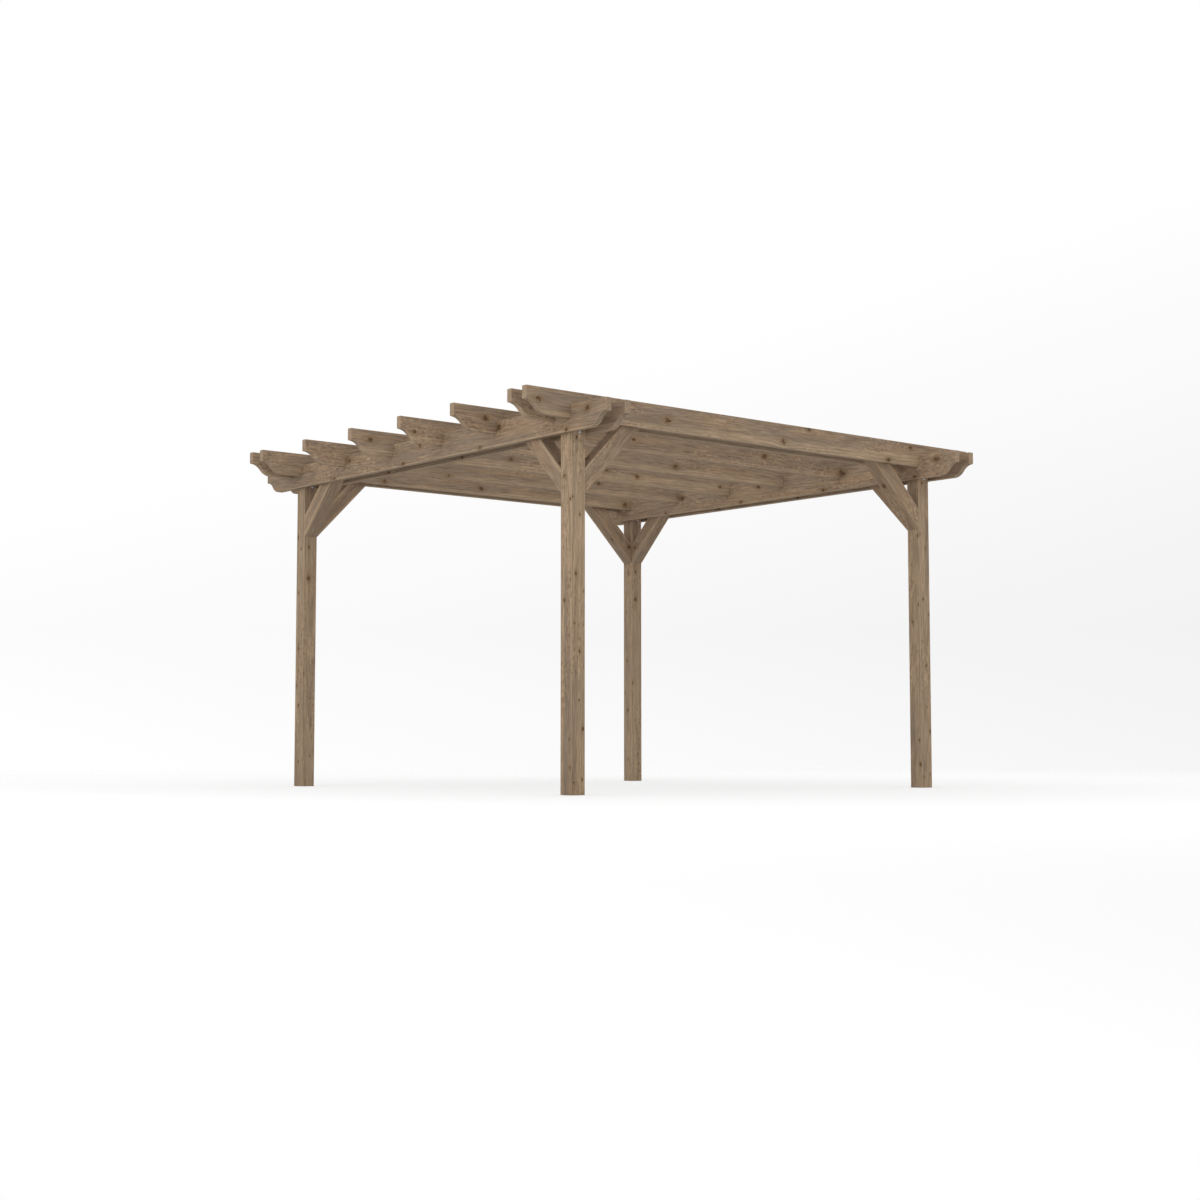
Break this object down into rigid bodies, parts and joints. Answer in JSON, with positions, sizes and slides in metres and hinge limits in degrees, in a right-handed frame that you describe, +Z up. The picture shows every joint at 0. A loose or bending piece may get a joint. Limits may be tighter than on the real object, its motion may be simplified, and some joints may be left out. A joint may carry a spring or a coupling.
{
  "type": "wooden pergola",
  "caption": "Free-standing open timber pergola: square posts clasped by twin beams, notched rafters with ogee-shaped ends and 45-degree knee braces.",
  "frame": {"origin": "on the ground, at the centre of the four posts", "axes": "+Z up; X along the rafters, +X to the right; Y along the beams, -Y to the front"},
  "size_m": [3.6, 3.6, 2.1775],
  "materials": {
    "softwood": "planed pressure-treated softwood, weathered grey-brown, with dark knots"
  },
  "bodies": {
    "root": {"post_front_left": "softwood", "post_front_right": "softwood", "post_back_left": "softwood", "post_back_right": "softwood", "beam_left_outer": "softwood", "beam_left_inner": "softwood", "beam_right_inner": "softwood", "beam_right_outer": "softwood", "rafter_1": "softwood", "rafter_2": "softwood", "rafter_3": "softwood", "rafter_4": "softwood", "rafter_5": "softwood", "rafter_6": "softwood", "rafter_7": "softwood", "rafter_8": "softwood", "beam_brace_front_left": "softwood", "beam_brace_front_right": "softwood", "beam_brace_back_left": "softwood", "beam_brace_back_right": "softwood", "rafter_brace_front_left": "softwood", "rafter_brace_front_right": "softwood", "rafter_brace_back_left": "softwood", "rafter_brace_back_right": "softwood"}
  },
  "joints": []
}
